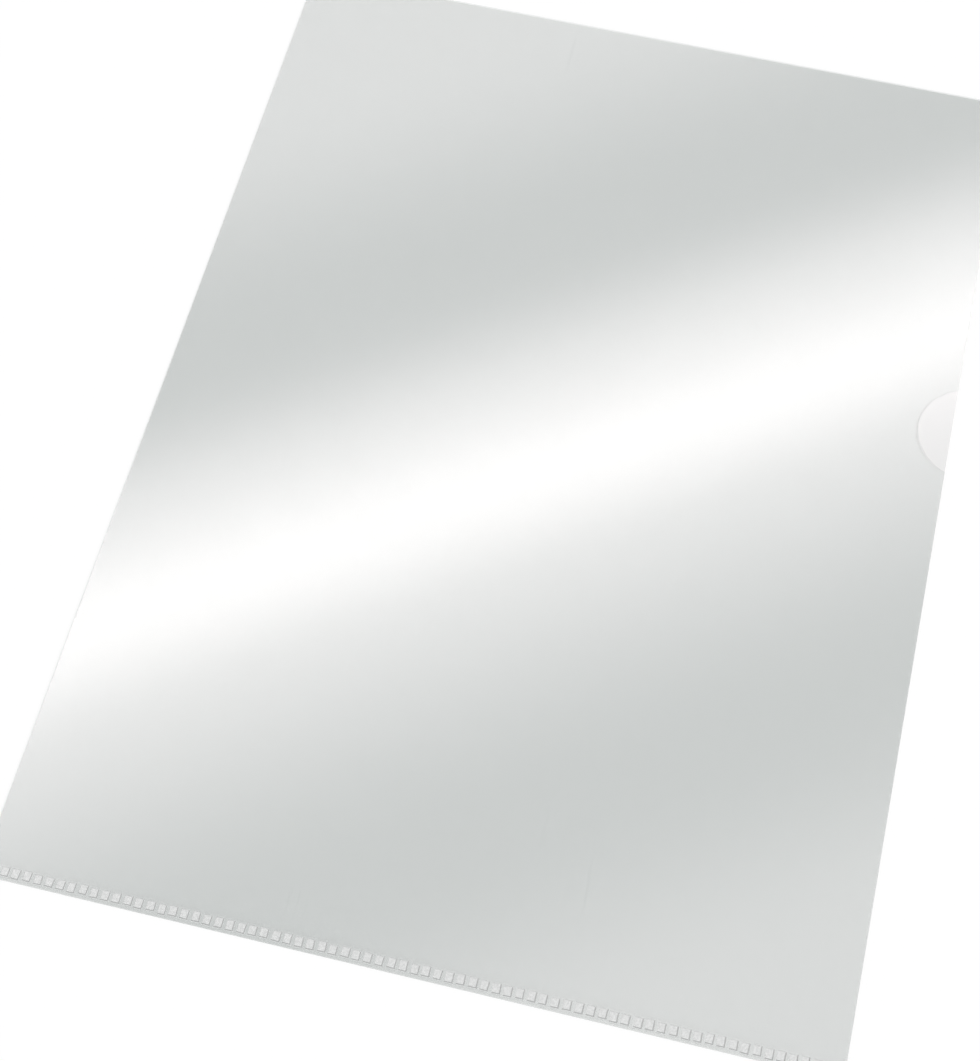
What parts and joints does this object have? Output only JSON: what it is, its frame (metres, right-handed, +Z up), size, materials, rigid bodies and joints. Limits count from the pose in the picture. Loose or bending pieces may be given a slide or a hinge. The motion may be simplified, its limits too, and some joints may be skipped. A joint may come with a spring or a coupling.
{
  "type": "plastic file folder",
  "caption": "Clear cut-flush A4 file folder, folded on one side and welded along the bottom, with a thumb notch, for holding loose paper sheets.",
  "frame": {"origin": "middle of the underside of the back leaf, on the surface that the folder lies on", "axes": "+X from the folded edge to the open edge with the thumb notch, +Y from the welded bottom edge to the open top edge, +Z up out of the front leaf"},
  "size_m": [0.22, 0.31, 0.0007],
  "materials": {
    "clear_film": "gloss",
    "welded_film": "satin"
  },
  "bodies": {
    "folder": {"back_leaf": "clear_film", "front_leaf": "clear_film", "spine_fold": "clear_film", "weld_seam": "welded_film"},
    "front_flap": {"front_leaf_flap": "clear_film"}
  },
  "joints": [
    {"name": "front_leaf_lift", "type": "hinge", "parent": "folder", "child": "front_flap", "pos_m": [0.00017, 0.00185, 0.0007], "axis": [0.5828, -0.8126, 0], "range_deg": [0, 60], "stiffness_Nm_per_rad": 0.004}
  ]
}
